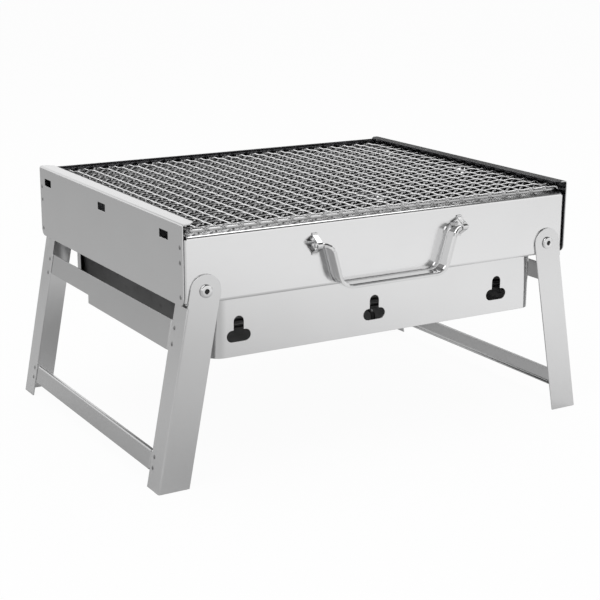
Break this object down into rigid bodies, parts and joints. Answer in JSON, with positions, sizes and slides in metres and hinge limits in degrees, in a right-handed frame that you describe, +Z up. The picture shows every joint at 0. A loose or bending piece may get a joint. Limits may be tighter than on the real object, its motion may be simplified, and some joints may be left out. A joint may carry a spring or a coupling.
{
  "type": "folding camp grill",
  "caption": "Folding charcoal camp grill: a bent steel shell with a drop-in firebox, a slide-out wire mesh, a swinging bail handle and leg frames that fold flat underneath.",
  "frame": {"origin": "middle of the bounding box, on the ground the feet stand on", "axes": "+Z up, -Y towards the front with the handle, +X towards the grill's right seen from the front, across the leg frames"},
  "size_m": [0.3948, 0.2888, 0.198],
  "materials": {
    "panel_steel": "satin stainless sheet with bright bends",
    "leg_steel": "satin stainless sheet",
    "firebox_steel": "satin stainless sheet",
    "pan_steel": "dull stainless sheet",
    "wire_steel": "bright drawn wire",
    "handle_steel": "bright pressed strip",
    "rivet_steel": "bright pop rivet"
  },
  "bodies": {
    "shell": {"front_panel": "panel_steel", "back_panel": "panel_steel", "left_panel": "panel_steel", "right_panel": "panel_steel", "front_left_pivot_rivet": "rivet_steel", "front_right_pivot_rivet": "rivet_steel", "back_left_pivot_rivet": "rivet_steel", "back_right_pivot_rivet": "rivet_steel", "handle_bracket_left": "handle_steel", "handle_bracket_right": "handle_steel"},
    "left_leg_frame": {"left_front_leg": "leg_steel", "left_back_leg": "leg_steel", "left_upper_rail": "leg_steel", "left_lower_rail": "leg_steel"},
    "right_leg_frame": {"right_front_leg": "leg_steel", "right_back_leg": "leg_steel", "right_upper_rail": "leg_steel", "right_lower_rail": "leg_steel"},
    "firebox": {"firebox_front_plate": "firebox_steel", "firebox_back_plate": "firebox_steel", "firebox_pan": "pan_steel", "charcoal_grate": "wire_steel", "grate_stand_left": "wire_steel", "grate_stand_middle": "wire_steel", "grate_stand_right": "wire_steel"},
    "handle": {"carry_handle": "handle_steel"},
    "grill": {"grill_frame": "wire_steel", "grill_mesh": "wire_steel"}
  },
  "joints": [
    {"name": "left_leg_fold", "type": "hinge", "parent": "shell", "child": "left_leg_frame", "pos_m": [-0.157, 0.0043, 0.148], "axis": [0, -1, 0], "range_deg": [0, 100.7]},
    {"name": "right_leg_fold", "type": "hinge", "parent": "shell", "child": "right_leg_frame", "pos_m": [0.157, 0.0043, 0.148], "axis": [0, 1, 0], "range_deg": [0, 100.7]},
    {"name": "firebox_lift", "type": "slide", "parent": "shell", "child": "firebox", "axis": [0, 0, 1], "range_m": [0, 0.047]},
    {"name": "handle_swing", "type": "hinge", "parent": "shell", "child": "handle", "pos_m": [0, -0.1393, 0.172], "axis": [-1, 0, 0], "range_deg": [0, 100]},
    {"name": "grill_slide", "type": "slide", "parent": "shell", "child": "grill", "axis": [0, -1, 0], "range_m": [0, 0.25]}
  ],
  "couplings": [
    {"joint": "right_leg_fold", "follows": "left_leg_fold", "ratio": 1},
    {"joint": "firebox_lift", "follows": "left_leg_fold", "m_per_rad": 0.02674}
  ]
}
